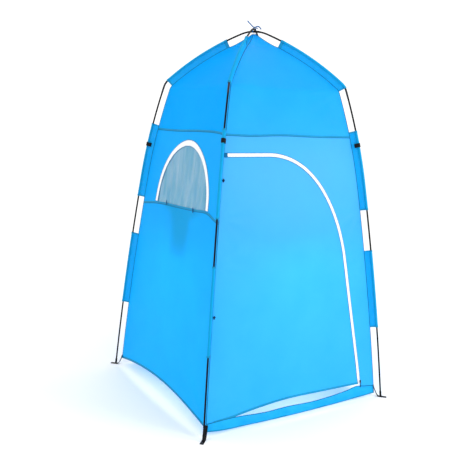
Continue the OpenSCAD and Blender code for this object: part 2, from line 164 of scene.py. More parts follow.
def pole_arcs(top):
    """The arcs of one half of an arch, from its foot to its top."""
    crown = np.array([CROWN_R * math.cos(math.radians(CROWN_LEAN)),
                      top - CROWN_R * (1 - math.sin(math.radians(CROWN_LEAN)))])
    a = 45.0
    for _ in range(12):
        elbow_end = SHOULDER + ELBOW_R * (unit(a) - unit(LEAN_SHOULDER))
        a = 2 * chord_lean(elbow_end, crown) - CROWN_LEAN
    elbow_end = SHOULDER + ELBOW_R * (unit(a) - unit(LEAN_SHOULDER))
    return [arc(FOOT, MIDDLE, LEAN_FOOT, LEAN_MIDDLE), arc(MIDDLE, SHOULDER, LEAN_MIDDLE, LEAN_SHOULDER),
            arc(SHOULDER, elbow_end, LEAN_SHOULDER, a), arc(elbow_end, crown, a, CROWN_LEAN),
            arc(crown, np.array([0.0, top]), CROWN_LEAN, 90)]


ARCHES = [pole_arcs(UPPER_TOP), pole_arcs(LOWER_TOP)]


def lean_at(c, z):
    """The lean at which an arc, carried on past its ends, reaches a height."""
    return math.degrees(math.asin(max(-1, min(1, (z - c[0][1]) / c[1]))))


def pole_path(arcs, z0, z1, step=0.01):
    """Points and leans along the pole between two heights."""
    points, leans = [], []
    for c in arcs:
        a0, a1 = max(c[2], lean_at(c, z0)), min(c[3], lean_at(c, z1))
        if a1 - a0 < 1e-3:
            continue
        n = max(2, int(math.radians(a1 - a0) * c[1] / step))
        for k in range(n + 1):
            a = a0 + (a1 - a0) * k / n
            p = c[0] + c[1] * unit(a)
            if not points or np.linalg.norm(p - points[-1]) > 1e-5:
                points.append(p)
                leans.append(a)
    return np.array(points), np.array(leans)


def seam_profile():
    """The corner seam of the cloth as [half width, height], with the sag below the crossing."""
    p, a = pole_path(ARCHES[1][:4], -0.02, ROOF_SLEEVE_TOP, 0.008)
    rows = [[(q[0] - SLEEVE_W * unit(b)[0]) / SQRT2, q[1] - SLEEVE_W * unit(b)[1]] for q, b in zip(p, a)]
    h0, z0 = rows[-1]
    for k in range(1, 25):
        t = k / 24
        rows.append([h0 * (1 - t), z0 + (FABRIC_APEX_Z - z0) * t ** 1.25])
    return np.array(rows)


SEAM = seam_profile()
SEAM_SLOPE = np.gradient(SEAM[:, 0], SEAM[:, 1])
SEAM_LENGTH = run_length(SEAM)


def half_of(z):
    """Half the cabin's width at a height."""
    return np.interp(z, SEAM[:, 1], SEAM[:, 0])


def seam_rows(z0, z1, n=None, step=0.012):
    """Heights from z0 to z1 that are evenly spaced along the seam: n of them, or one for each step."""
    s0, s1 = np.interp([z0, z1], SEAM[:, 1], SEAM_LENGTH)
    return np.interp(np.linspace(s0, s1, n or int((s1 - s0) / step) + 1), SEAM_LENGTH, SEAM[:, 1])


def hem_arch(x):
    """The height of the arched hem of a plain wall."""
    half = half_of(HEM_Z)
    r = (half * half + HEM_RISE * HEM_RISE) / (2 * HEM_RISE)
    return HEM_Z + HEM_RISE - r + np.sqrt(r * r - np.asarray(x, float) ** 2)


# ---------------- the surface of the cloth
# how far the sewn seams wander from a straight line, by side: height, reach, wander through (x, z)
window_seam = curve_through([(-0.470, -0.028), (-0.29, -0.006), (0.02, 0.006), (0.20, 0.012), (0.345, 0.016),
                             (0.440, -0.012), (0.470, -0.016)])
front_eaves = curve_through([(-0.41, 0.004), (-0.26, 0.0), (-0.07, 0.005), (0.19, -0.002), (0.41, -0.004)])
left_eaves = curve_through([(-0.41, 0.002), (-0.17, 0.003), (0.13, 0.012), (0.30, 0.012), (0.41, 0.004)])
rear_eaves = curve_through([(-0.41, -0.004), (-0.1, 0.003), (0.2, -0.003), (0.41, 0.002)])
WANDER = [[(EAVES_Z, 0.11, front_eaves)], [(EAVES_Z, 0.11, rear_eaves)],
          [(EAVES_Z, 0.11, rear_eaves)], [(EAVES_Z, 0.11, left_eaves), (WINDOW_SEAM_Z, 0.22, window_seam)]]

# slow waves over each side: turns across and up, phase, share of the size
rng = random.Random(7)
WAVES = [[(rng.uniform(-9, 9), rng.uniform(3, 11), rng.uniform(0, 6.28), rng.uniform(0.5, 1)) for _ in range(5)]
         for _ in range(4)]
WAVE_SIZE = 0.0014
# creases that fan out from where the cloth is held: edge, height, number of creases, size, reach
FANS = [(1, HEM_Z, 15, 0.0030, 0.20), (-1, HEM_Z, 13, 0.0030, 0.22), (1, LOWER_SLEEVE[0], 11, 0.0012, 0.09),
        (-1, LOWER_SLEEVE[0], 11, 0.0012, 0.09), (1, LOWER_SLEEVE[1], 10, 0.0016, 0.10),
        (-1, LOWER_SLEEVE[1], 12, 0.0016, 0.10), (1, UPPER_SLEEVE[0], 10, 0.0016, 0.10),
        (-1, UPPER_SLEEVE[0], 11, 0.0016, 0.10), (1, UPPER_SLEEVE[1], 12, 0.0014, 0.09),
        (-1, UPPER_SLEEVE[1], 10, 0.0014, 0.09), (1, SHOULDER_H, 13, 0.0022, 0.13), (-1, SHOULDER_H, 12, 0.0022, 0.13)]
# the cloth is drawn inwards everywhere, and more or less round some heights: depth, height, reach
BOW, BOWS = -0.006, [(-0.012, 1.90, 0.16), (0.004, 0.8, 0.35)]
# fine gathers along the eaves seam
PUCKER, PUCKER_REACH, PUCKER_TURNS = 0.0007, 0.018, 170


def wander(side, x, z):
    """How far the cloth at a point is drawn up by the seams' wander."""
    total = np.zeros(np.broadcast(x, z).shape)
    for seam_z, reach, profile in WANDER[side]:
        w = np.clip(1 - np.abs(z - seam_z) / reach, 0, 1)
        total = total + w * w * (3 - 2 * w) * profile(x)
    return total


def relief(side, x, z):
    """How far the cloth stands out from the straight line between its corner seams."""
    u = np.clip(x / np.maximum(half_of(z), 0.004), -1, 1)
    d = np.zeros_like(x)
    for kx, kz, phase, size in WAVES[side]:
        d = d + WAVE_SIZE * size * np.sin(kx * x + kz * z + phase + 0.7 * np.sin(2.3 * x + 1.1 * kz))
    for edge, fz, count, size, reach in FANS:
        cx = edge * half_of(fz)
        r = np.hypot(x - cx, z - fz)
        angle = np.arctan2(z - fz, (cx - x) * edge)
        d = d + size * np.minimum(r / 0.04, 1) * np.exp(-r / reach) * np.sin(count * angle + side + edge)
    bow = sum((depth * np.exp(-((z - at) / reach) ** 2) for depth, at, reach in BOWS), BOW)
    pucker = PUCKER * np.exp(-np.abs(z - EAVES_Z) / PUCKER_REACH) * np.sin(PUCKER_TURNS * x + 2.2 * side)
    return (1 - u ** 4) * (d + bow * (1 - u ** 2) + pucker)


def cloth(side, x, z, lift=0.0):
    """Points on a side's cloth: x across, z up, lift outwards from it."""
    x, z = np.asarray(x, float), np.asarray(z, float)
    moved = z + wander(side, x, z)
    x = x * half_of(moved) / np.maximum(half_of(z), 0.001)
    z = moved
    slope = np.interp(z, SEAM[:, 1], SEAM_SLOPE)
    d = lift + relief(side, x, z)
    n = np.sqrt(1 + slope ** 2)
    y = -half_of(z) - d / n
    c, s = [(1, 0), (0, 1), (-1, 0), (0, -1)][side]
    return np.stack([c * x - s * y, s * x + c * y, z - d * slope / n], axis=-1)


# ---------------- mesh building
def round_box(count, half_w, half_h, power_w, power_h):
    """A ring of [across, up] points round a box: low powers give sharp corners, 1 gives an ellipse."""
    a = 2 * math.pi * np.arange(count) / count
    c, s = np.cos(a), np.sin(a)
    return at(half_w * np.copysign(np.abs(c) ** power_w, c), half_h * np.copysign(np.abs(s) ** power_h, s))


class Build:
    """Collects vertices and faces for one mesh."""

    def __init__(self):
        self.v, self.f = [], []

    def grid(self, points, close_rows=False, close_columns=False):
        """A skin over rows of points, joined end to end where it is closed."""
        points = np.asarray(points, float)
        n, m = points.shape[:2]
        base = len(self.v)
        self.v.extend(map(tuple, points.reshape(-1, 3)))
        for i in range(n if close_rows else n - 1):
            for j in range(m if close_columns else m - 1):
                a, b = i * m + j, i * m + (j + 1) % m
                c, d = ((i + 1) % n) * m + (j + 1) % m, ((i + 1) % n) * m + j
                self.f.append(tuple(base + k for k in (a, b, c, d)))
        return base

    def loft(self, rings, flip=False):
        """A skin over rings with a face on either end."""
        base = self.grid(rings, close_columns=True)
        n, m = len(rings), len(rings[0])
        first, last = range(base, base + m), range(base + (n - 1) * m, base + n * m)
        self.f.append(tuple(first if flip else reversed(first)))
        self.f.append(tuple(reversed(last) if flip else last))

    def tube(self, path, radius, sides=8, closed=False):
        """A tube of rings square to the path, with its ends joined or capped."""
        path = np.asarray(path, float)
        n = len(path)
        radii = np.broadcast_to(radius, (n,))
        angles = np.linspace(0, 2 * math.pi, sides, endpoint=False)
        side, rings = None, []
        for k in range(n):
            if closed:
                t = path[(k + 1) % n] - path[k - 1]
            else:
                t = path[min(k + 1, n - 1)] - path[max(k - 1, 0)]
            t = t / np.linalg.norm(t)
            if side is None:
                side = np.cross(t, [0, 0, 1.0] if abs(t[2]) < 0.9 else [1.0, 0, 0])
            side = side - t * side.dot(t)
            side = side / np.linalg.norm(side)
            up = np.cross(t, side)
            rings.append([path[k] + radii[k] * (math.cos(a) * side + math.sin(a) * up) for a in angles])
        if closed:
            self.grid(rings, close_rows=True, close_columns=True)
        else:
            self.loft(rings)

    def make(self, name, material, smooth=True):
        """The mesh as an object in the scene."""
        mesh = bpy.data.meshes.new(name)
        mesh.from_pydata(self.v, [], self.f)
        mesh.validate()
        mesh.polygons.foreach_set("use_smooth", [smooth] * len(mesh.polygons))
        mesh.materials.append(material)
        obj = bpy.data.objects.new(name, mesh)
        bpy.context.scene.collection.objects.link(obj)
        return obj


def drill(obj, start, end, radius, sides):
    """Cuts a round hole through a piece."""
    tool = Build()
    tool.tube([start, end], radius, sides=sides)
    tool = tool.make("cutter", obj.data.materials[0])
    cut = obj.modifiers.new("hole", "BOOLEAN")
    cut.operation, cut.object, cut.solver = "DIFFERENCE", tool, "EXACT"
    bpy.context.view_layer.update()
    mesh = bpy.data.meshes.new_from_object(obj.evaluated_get(bpy.context.evaluated_depsgraph_get()))
    old = obj.data
    obj.modifiers.clear()
    obj.data = mesh
    bpy.data.meshes.remove(old)
    bpy.data.objects.remove(tool)


def rig(obj, slot, *nodes, body="frame"):
    """Attaches a piece to the body that carries it and hides the CAD nodes that it stands for. The slot is not used.
    """
    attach(obj, body)
    if nodes:
        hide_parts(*nodes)
    return obj


def fit(build, name, look, slot, *nodes, body="frame"):
    """Makes a piece and rigs it."""
    return rig(build.make(name, M[look]), slot, *nodes, body=body)


def cad_box(node):
    """The low and high corners of a CAD node."""
    low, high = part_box(node)
    return np.array(low), np.array(high)


def ribbon(build, side, path, section):
    """A strip along a path on a side's cloth. The section is a list of (offset across, lift)."""
    path = np.asarray(path, float)
    n = path_normals(path)
    build.grid([cloth(side, path[:, 0] + o * n[:, 0], path[:, 1] + o * n[:, 1], lift) for o, lift in section])


def flat_section(a, b, lift, thick):
    """The section of a flat strip from a to b across, with eased edges that run just into the cloth."""
    ease, under = 0.0006, lift - 0.0012
    return [(a, under), (a, lift + 0.6 * thick), (a + ease, lift + thick), ((a + b) / 2, lift + 1.12 * thick),
            (b - ease, lift + thick), (b, lift + 0.6 * thick), (b, under)]


STITCH_PITCH, STITCH_LENGTH, STITCH_R = 0.009, 0.0062, 0.0005


def stitches(build, side, path, offset, lift):
    """A row of thread dashes beside a path on a side's cloth."""
    path = resample(path, STITCH_PITCH)
    n = path_normals(path)
    q = path + offset * n
    t = at(n[:, 1], -n[:, 0]) * STITCH_LENGTH / 2
    for ends in zip(cloth(side, *(q - t).T, lift), cloth(side, *(q + t).T, lift)):
        build.tube(ends, STITCH_R, sides=4)


# ---------------- materials
def add(nodes, kind, **values):
    """A shader node with its settings and the values of its inputs, whose names have _ for a space."""
    node = nodes.new(kind)
    for key, value in values.items():
        if hasattr(node, key):
            setattr(node, key, value)
        else:
            node.inputs[key.replace("_", " ")].default_value = value
    return node


def maths(nt, operation, *values):
    """The result of a sum on sockets or plain numbers."""
    node = add(nt.nodes, "ShaderNodeMath", operation=operation)
    for socket, value in zip(node.inputs, values):
        if isinstance(value, float):
            socket.default_value = value
        else:
            nt.links.new(value, socket)
    return node.outputs[0]


def scaled(nt, source, low, high, to_low, to_high):
    """A value carried from one range to another."""
    node = add(nt.nodes, "ShaderNodeMapRange", From_Min=low, From_Max=high, To_Min=to_low, To_Max=to_high)
    nt.links.new(source, node.inputs["Value"])
    return node.outputs["Result"]


def two_shades(nt, noise, positions, shades):
    """A mix of two shades by a noise."""
    ramp = add(nt.nodes, "ShaderNodeValToRGB")
    for k in (0, 1):
        ramp.color_ramp.elements[k].position = positions[k]
        ramp.color_ramp.elements[k].color = (*shades[k], 1)
    nt.links.new(noise.outputs["Fac"], ramp.inputs["Fac"])
    return ramp.outputs["Color"]


def weave_field(nt, pitch):
    """Object coordinates, and the waves of the threads that run up the cloth and across it."""
    coords = add(nt.nodes, "ShaderNodeTexCoord").outputs["Object"]
    split = add(nt.nodes, "ShaderNodeSeparateXYZ")
    nt.links.new(coords, split.inputs[0])
    sources = maths(nt, "ADD", split.outputs[0], split.outputs[1]), split.outputs[2]
    return coords, [maths(nt, "SINE", maths(nt, "MULTIPLY", source, 2 * math.pi / pitch)) for source in sources]


def new_material(name):
    material = bpy.data.materials.new(name)
    material.use_nodes = True
    return material, material.node_tree, material.node_tree.nodes["Principled BSDF"]


ROUGH_SPREAD = 0.05


def surface(name, dark, light, rough, weave=0.0, weave_bump=0.15, noise_scale=6.0, crumple=0.0, crumple_scale=26.0,
            translucent=0.0, specular=0.5, alpha=1.0, metallic=0.0):
    """A procedural material: two shades mixed by noise, with weave and crumple in the bump."""
    material, nt, shader = new_material(name)
    nodes, link = nt.nodes, nt.links.new
    noise = add(nodes, "ShaderNodeTexNoise", Scale=noise_scale, Detail=5.0, Roughness=0.6)
    if weave:
        coords, waves = weave_field(nt, weave)
        height = maths(nt, "MULTIPLY", *waves)
    else:
        coords = add(nodes, "ShaderNodeTexCoord").outputs["Object"]
    link(coords, noise.inputs["Vector"])
    shade = two_shades(nt, noise, (0.32, 0.68), (dark, light))
    if weave:
        mix = add(nodes, "ShaderNodeMix", data_type="RGBA", blend_type="MULTIPLY", Factor=1.0)
        link(shade, mix.inputs["A"])
        link(scaled(nt, height, -1, 1, 0.90, 1.0), mix.inputs["B"])
        shade = mix.outputs["Result"]
    link(shade, shader.inputs["Base Color"])
    normal = None
    if crumple:
        soft = add(nodes, "ShaderNodeTexNoise", Scale=crumple_scale, Detail=4.0, Roughness=0.55, Distortion=0.6)
        link(coords, soft.inputs["Vector"])
        bump = add(nodes, "ShaderNodeBump", Strength=0.6, Distance=crumple)
        link(soft.outputs["Fac"], bump.inputs["Height"])
        normal = bump.outputs["Normal"]
    if weave:
        fine = add(nodes, "ShaderNodeBump", Strength=weave_bump, Distance=weave * 0.25)
        link(height, fine.inputs["Height"])
        if normal:
            link(normal, fine.inputs["Normal"])
        normal = fine.outputs["Normal"]
    if normal:
        link(normal, shader.inputs["Normal"])
    link(scaled(nt, noise.outputs["Fac"], 0, 1, rough - ROUGH_SPREAD, rough + ROUGH_SPREAD),
         shader.inputs["Roughness"])
    for socket, value in (("Specular IOR Level", specular), ("Metallic", metallic), ("Alpha", alpha)):
        shader.inputs[socket].default_value = value
    if translucent:
        through = add(nodes, "ShaderNodeBsdfTranslucent")
        link(shade, through.inputs["Color"])
        if normal:
            link(normal, through.inputs["Normal"])
        both = add(nodes, "ShaderNodeMixShader", Fac=translucent)
        link(shader.outputs[0], both.inputs[1])
        link(through.outputs[0], both.inputs[2])
        link(both.outputs[0], nodes["Material Output"].inputs["Surface"])
    return material


NET_PITCH = 0.0028


def net_material():
    """Fine net: pale threads with see-through holes between them, in loose upright streaks of painted light and shade
    from its folds.
    """
    material, nt, shader = new_material("window_net")
    coords, waves = weave_field(nt, NET_PITCH)
    nt.links.new(scaled(nt, maths(nt, "MAXIMUM", *waves), 0.2, 0.9, 0.62, 0.97), shader.inputs["Alpha"])
    stretch = add(nt.nodes, "ShaderNodeMapping", Scale=(30, 30, 0.8))
    noise = add(nt.nodes, "ShaderNodeTexNoise", Scale=1.0, Detail=3.0)
    nt.links.new(coords, stretch.inputs["Vector"])
    nt.links.new(stretch.outputs["Vector"], noise.inputs["Vector"])
    shade = two_shades(nt, noise, (0.36, 0.74), ((0.17, 0.37, 0.43), (0.33, 0.47, 0.50)))
    nt.links.new(shade, shader.inputs["Base Color"])
    shader.inputs["Roughness"].default_value = 0.6
    shader.inputs["Specular IOR Level"].default_value = 0.1
    return material


TAUT = {"weave": 0.0012, "crumple": 0.0007, "translucent": 0.36}
SLEEVE = {"weave": 0.0012, "crumple": 0.001, "specular": 0.10, "alpha": 0.90}
# two shades, roughness and the rest
LOOKS = {
    "wall_cloth": [(0.007, 0.460, 0.92), (0.010, 0.490, 0.96), 0.50, dict(TAUT, specular=0.06)],
    # the front's copy of the wall cloth has more red in both shades: a painted sheen for the key lamp's light on the
    # front
    "front_cloth_painted_sheen": [(0.014, 0.450, 0.92), (0.022, 0.480, 0.96), 0.40, dict(TAUT, specular=0.35)],
    "sill_cloth": [(0.008, 0.400, 0.82), (0.012, 0.450, 0.88), 0.50,
                   dict(TAUT, crumple=0.0012, translucent=0.25, specular=0.12)],
    "roof_cloth": [(0.003, 0.455, 0.93), (0.005, 0.485, 0.97), 0.50, dict(TAUT, specular=0.02, alpha=0.94)],
    # the front panel's copy of the roof cloth has more red in both shades: a painted sheen for the key lamp's light on
    # it
    "front_roof_cloth": [(0.008, 0.460, 0.94), (0.012, 0.490, 0.97), 0.42, dict(TAUT, specular=0.15, alpha=0.92)],
    # the flap is the walls' cloth painted darker: painted shade, so that it shows dark through the wall
    "flap_cloth_painted_shade": [(0.003, 0.20, 0.42), (0.005, 0.23, 0.47), 0.55, dict(TAUT, translucent=0.12, specular=0.10)],
    "sleeve_cloth": [(0.005, 0.50, 0.94), (0.008, 0.54, 0.98), 0.5, dict(SLEEVE, translucent=0.40)],
    # the roof sleeves get a darker copy of the sleeve cloth: painted shade
    "roof_sleeve_cloth_painted_shade": [(0.005, 0.47, 0.91), (0.007, 0.50, 0.95), 0.5, dict(SLEEVE, translucent=0.30)],
    "seam_cloth": [(0.005, 0.24, 0.46), (0.008, 0.29, 0.54), 0.55, dict(weave=0.001, specular=0.12)],
    # navy of the zip's end patch, and of the dark edges along the tapes and seams, which are partly folded cloth and
    # partly painted shade
    "binding_and_shade": [(0.002, 0.11, 0.25), (0.004, 0.14, 0.31), 0.6, dict(weave=0.001, specular=0.06)],
    "piping": [(0.002, 0.10, 0.22), (0.004, 0.13, 0.28), 0.6, dict(weave=0.001, specular=0.10)],
    "thread": [(0.006, 0.22, 0.46), (0.010, 0.28, 0.54), 0.6, dict(noise_scale=200, specular=0.2)],
    "white_tape": [(0.90, 0.92, 0.93), (0.95, 0.96, 0.96), 0.55, dict(weave=0.0011, weave_bump=0.4)],
    "white_teeth": [(0.80, 0.83, 0.85), (0.88, 0.90, 0.91), 0.35, dict(noise_scale=60)],
    "black_pole": [(0.001, 0.001, 0.002), (0.004, 0.004, 0.005), 0.42, dict(noise_scale=90, specular=0.08)],
    "black_ferrule": [(0.003, 0.003, 0.004), (0.009, 0.009, 0.011), 0.42, dict(noise_scale=120, specular=0.10)],
    "grey_metal": [(0.015, 0.016, 0.020), (0.045, 0.048, 0.055), 0.42, dict(noise_scale=80, metallic=0.85)],
    "black_plastic": [(0.003, 0.003, 0.004), (0.008, 0.008, 0.010), 0.5,
                      dict(noise_scale=60, crumple=0.0002, crumple_scale=400, specular=0.12)],
    "elastic_cord": [(0.72, 0.72, 0.70), (0.85, 0.85, 0.83), 0.7, dict(weave=0.0008, weave_bump=0.6)],
    "black_webbing": [(0.003, 0.003, 0.004), (0.010, 0.010, 0.012), 0.7,
                      dict(weave=0.0016, weave_bump=0.7, specular=0.15)],
    "tie_cord": [(0.001, 0.10, 0.30), (0.002, 0.14, 0.40), 0.65, dict(weave=0.0012, weave_bump=0.6, specular=0.06)],
    "navy_tape": [(0.003, 0.070, 0.17), (0.006, 0.11, 0.26), 0.65,
                  dict(weave=0.0012, weave_bump=0.6, specular=0.15)],
}
M = {name: surface(name, dark, light, rough, **rest) for name, (dark, light, rough, rest) in LOOKS.items()}
M["net"] = net_material()

# the CAD solids that are shown as they are
CARRIED = {"leg_ferrules": "black_ferrule", "crown_ferrules": "black_ferrule", "shoulder_elbows": "grey_metal",
           "foot_eyelets": "grey_metal", "pole_tips": "black_plastic", "shock_cords": "elastic_cord"}
CARRIED.update({f"{rod}_rod_{corner}": "black_pole" for rod in ("lower", "middle", "upper", "roof")
                for corner in CORNERS})
for node, look in CARRIED.items():
    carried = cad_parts[node]
    if carried.material_slots:
        for material_slot in carried.material_slots:
            material_slot.material = M[look]
    else:
        carried.data.materials.append(M[look])

# ---------------- camera
CAMERA_YAW, CAMERA_PITCH, CAMERA_ROLL = 0.5477, -0.1805, 0.0315
CAMERA_PLACE = (-2.1406, -3.3703, 1.6428)
camera_data = bpy.data.cameras.new("camera")
camera_data.lens, camera_data.sensor_width = 51.73, 36.0
camera = bpy.data.objects.new("camera", camera_data)
camera.matrix_world = (Matrix.Translation(CAMERA_PLACE) @ Matrix.Rotation(-CAMERA_YAW, 4, "Z")
                       @ Matrix.Rotation(math.pi / 2 + CAMERA_PITCH, 4, "X") @ Matrix.Rotation(CAMERA_ROLL, 4, "Z"))
bpy.context.scene.collection.objects.link(camera)
bpy.context.scene.camera = camera

# ---------------- the two tails of the tie
TAIL_D = 0.006
# their lines in millimetres, as in the CAD source
TAILS = {
    "long": [[-5, 4, 2120], [-9, 9, 2126], [-14, 14, 2133], [-19, 20, 2140], [-23, 26, 2147], [-27, 31, 2154]],
    "short": [[6, -4, 2120], [12, -7, 2123], [18, -10, 2124], [24, -12, 2122], [29, -14, 2118], [33, -16, 2113],
              [36, -17, 2108]],
}
for which, route in TAILS.items():
    points = resample(np.array(route) / 1000, 0.002)
    curve = bpy.data.curves.new(f"tie_tail_{which}", "CURVE")
    curve.dimensions, curve.bevel_depth, curve.bevel_resolution, curve.use_fill_caps = "3D", TAIL_D / 2, 3, True
    spline = curve.splines.new("POLY")
    spline.points.add(len(points) - 1)
    for point, co in zip(spline.points, points):
        point.co = (*co, 1)
    curve.materials.append(M["tie_cord"])
    tail = bpy.data.objects.new(f"tie_tail_{which}", curve)
    bpy.context.scene.collection.objects.link(tail)
    rig(tail, "navy_tape", f"apex_tail_{which}")

# ---------------- lines and edges on the cloth
SIDE_DIR = (ZIP_SIDE - ZIP_FOOT) / np.linalg.norm(ZIP_SIDE - ZIP_FOOT)
# the zip's bend from its level run to its side run, as the four points of a curve
BEND = [np.array([ZIP_ARCH_X, ZIP_TOP_Z]), np.array([ZIP_ARCH_X + ZIP_REACH, ZIP_TOP_Z]),
        ZIP_SIDE + 0.26 * SIDE_DIR, ZIP_SIDE]
HINGE_LOW_X, HINGE_HIGH_X = HINGE_INSET - half_of(DOOR_BOTTOM_Z), HINGE_INSET - half_of(ZIP_TOP_Z)
ZIP_START = [HINGE_HIGH_X + 0.001, ZIP_TOP_Z]


def bezier(t):
    """Points on the zip's bend."""
    t = np.asarray(t, float)[:, None]
    return (1 - t) ** 3 * BEND[0] + 3 * (1 - t) ** 2 * t * BEND[1] + 3 * (1 - t) * t * t * BEND[2] + t ** 3 * BEND[3]


def zip_path(step=0.012):
    """The zip's line from the hinge over the top and down the side."""
    return resample(np.concatenate([[ZIP_START], bezier(np.linspace(0, 1, 60)), [ZIP_FOOT]]), step)


ZIP = zip_path()
door_hem = curve_through([(-0.570, 0.064), (-0.420, 0.072), (-0.27, 0.089), (-0.077, 0.103), (0.2, 0.100),
                          (0.445, 0.094)])
sill_top = curve_through([(-0.570, 0.070), (-0.41, 0.072), (-0.2, 0.058), (-0.06, 0.060), (0.117, 0.054),
                          (0.363, 0.071), (0.449, 0.083), (0.490, 0.076), (0.570, 0.066)])
sill_hem = curve_through([(-0.570, 0.031), (-0.53, 0.025), (-0.3, 0.013), (-0.05, 0.008), (0.3, 0.011),
                          (0.570, 0.021)])


def coons(bottom, top, left, right):
    """A patch between four edges, each an array of points; bottom and top run the same way."""
    n, m = len(left), len(bottom)
    u, v = np.linspace(0, 1, m)[None, :, None], np.linspace(0, 1, n)[:, None, None]
    ruled_v = (1 - v) * bottom[None] + v * top[None]
    ruled_u = (1 - u) * left[:, None] + u * right[:, None]
    corners = ((1 - u) * (1 - v) * bottom[0] + u * (1 - v) * bottom[-1] + (1 - u) * v * top[0] + u * v * top[-1])
    return ruled_v + ruled_u - corners


def ruled(inner, outer, rows):
    """A patch of straight lines from one edge to another."""
    t = np.linspace(0, 1, rows)[:, None, None]
    return (1 - t) * inner[None] + t * outer[None]


def seam_edge(z0, z1, sign, n):
    """Points up a corner seam."""
    z = seam_rows(z0, z1, n)
    return at(sign * half_of(z), z)


def wall_grid(top):
    """A grid of a plain wall between the corner seams, from its arched hem up to a height."""
    u = np.linspace(-1, 1, 85)
    z0 = np.full_like(u, 0.06)
    for _ in range(6):
        z0 = hem_arch(u * half_of(z0))
    rows = int((top - z0.min()) / 0.014)
    z = np.array([z0 + (top - z0) * r / rows for r in range(rows + 1)])
    return at(u * half_of(z), z)


def cut_cloth(name, side, xz, look):
    """A sheet through a grid of (x, z) points on a side's cloth."""
    build = Build()
    build.grid(cloth(side, xz[..., 0], xz[..., 1]))
    return build.make(name, M[look])


def sew_in(name, side, xz, look, slot, node):
    """A taut sheet that is part of the cabin."""
    rig(cut_cloth(name, side, xz, look), slot, node)


# ---------------- the door
inner = offset_path(ZIP, -TUCK)
outer = offset_path(ZIP, TUCK)
# the point of the zip where the door's top edge is taken to end and its side edge to start
split = int(np.argmin(np.linalg.norm(ZIP - bezier([0.52])[0], axis=1)))
columns, rows = 74, 100
door_top_z = ZIP_TOP_Z - TUCK
top_edge = np.concatenate([[[-half_of(door_top_z), door_top_z]], inner[:split + 1]])
side_edge = inner[split:][::-1]
foot_x, foot_z = side_edge[0]
bottom_x = np.linspace(-half_of(0.073), foot_x, columns)
bottom_z = door_hem(bottom_x)
# the last stretch of the hem runs up or down to the zip's foot
HEM_MEETS = 0.2
bottom_z = bottom_z + (foot_z - bottom_z[-1]) * np.clip((bottom_x - HEM_MEETS) / (foot_x - HEM_MEETS), 0, 1) ** 2
bottom_edge = at(bottom_x, bottom_z)
left_edge = seam_edge(bottom_z[0], door_top_z, -1, rows)
left_edge[0] = bottom_edge[0]
door_xz = coons(spaced(bottom_edge, columns), spaced(top_edge, columns), left_edge, spaced(side_edge, rows))

# the blend's planes run along the hinge line, from the corner seam to just past the hinge
hinge_low, hinge_high = np.array([HINGE_LOW_X, DOOR_BOTTOM_Z]), np.array([HINGE_HIGH_X, ZIP_TOP_Z])
hinge_dir = (hinge_high - hinge_low) / np.linalg.norm(hinge_high - hinge_low)
hinge_across = np.array([hinge_dir[1], -hinge_dir[0]])
BLEND = [(hinge_low + hinge_high) / 2 + d * hinge_across for d in (-0.017, 0.022)]
BLEND = [(float(p[0]), float(-half_of(p[1])), float(p[1])) for p in BLEND]


def blend_door(obj, slot, *nodes):
    """Hides the CAD nodes that a door piece stands for and bakes its placement into its mesh. The slot is not used."""
    if nodes:
        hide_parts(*nodes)
    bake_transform(obj)


door = cut_cloth("door_cloth", FRONT, door_xz, "front_cloth_painted_sheen")
blend_door(door, "wall_cloth", "door_panel")

# ---------------- the front wall round the door, and the sill
STRIP_FOOT_Z = 0.062
full = np.concatenate([[[-half_of(ZIP_TOP_Z + TUCK), ZIP_TOP_Z + TUCK]], outer,
                       [outer[-1] - SIDE_DIR * 0.018, outer[-1] - SIDE_DIR * 0.036]])
corner_index = split + 1
head_inner, side_inner = full[:corner_index + 1], full[corner_index:]
# the header's upper edge: straight above the zip's level run, then evenly spaced to the far corner
head_outer = at(np.linspace(-half_of(EAVES_Z), half_of(EAVES_Z), len(head_inner)), EAVES_Z)
level_run = head_inner[:, 0] < ZIP_ARCH_X
head_outer[level_run, 0] = head_inner[level_run, 0] * (half_of(EAVES_Z) / half_of(ZIP_TOP_Z))
last = int(level_run.sum()) - 1
head_outer[last:, 0] = np.linspace(head_outer[last, 0], half_of(EAVES_Z), len(head_inner) - last)
side_z = EAVES_Z + (STRIP_FOOT_Z - EAVES_Z) * np.linspace(0, 1, len(side_inner)) ** 0.93
for name, edges, width, length in (
        ("front_header_cloth", (head_inner, head_outer), 0.83, 0.24),
        ("front_side_cloth", (side_inner, at(half_of(side_z), side_z)), 0.36, 1.47)):
    sew_in(name, FRONT, ruled(*edges, 16), "front_cloth_painted_sheen", "wall_cloth", "front_wall")

# the sill band: a loose doubled strip under the door
u = np.linspace(-1, 1, 150)
v = np.linspace(0, 1, 13)[:, None]
sill_x = u * half_of(0.05)
low_z, high_z = sill_hem(sill_x), sill_top(sill_x)
sill_z = low_z + (high_z - low_z) * v
lumps = 0.55 + 0.25 * np.sin(21 * sill_x + 1) + 0.2 * np.sin(47 * sill_x + 2.5 + 2 * v) + 0.12 * np.sin(90 * sill_x)
sill_lift = 0.0012 + 0.012 * np.sin(math.pi * np.clip(v * 1.05, 0, 1)) ** 0.8 * lumps * (1 - u ** 6)
build = Build()
build.grid(cloth(FRONT, np.broadcast_to(sill_x, sill_z.shape), sill_z, sill_lift))
fit(build, "sill_cloth", "sill_cloth", "wall_cloth", "sill_band")

# ---------------- the plain walls, the window wall and the roof
for side, node, top in ((RIGHT, "right_wall", EAVES_Z), (REAR, "rear_wall", EAVES_Z),
                        (LEFT, "window_wall_lower", WINDOW_SEAM_Z)):
    sew_in(f"{SIDES[side]}_wall_cloth", side, wall_grid(top), "wall_cloth", "wall_cloth", node)


def window_arc(d, n, a0=180.0, a1=0.0):
    """The window's arch, larger by d."""
    a = np.radians(np.linspace(a0, a1, n))
    return at(WINDOW_SHIFT + (WINDOW_HALF_W + d) * np.cos(a), WINDOW_SEAM_Z + (WINDOW_RISE + d) * np.sin(a))


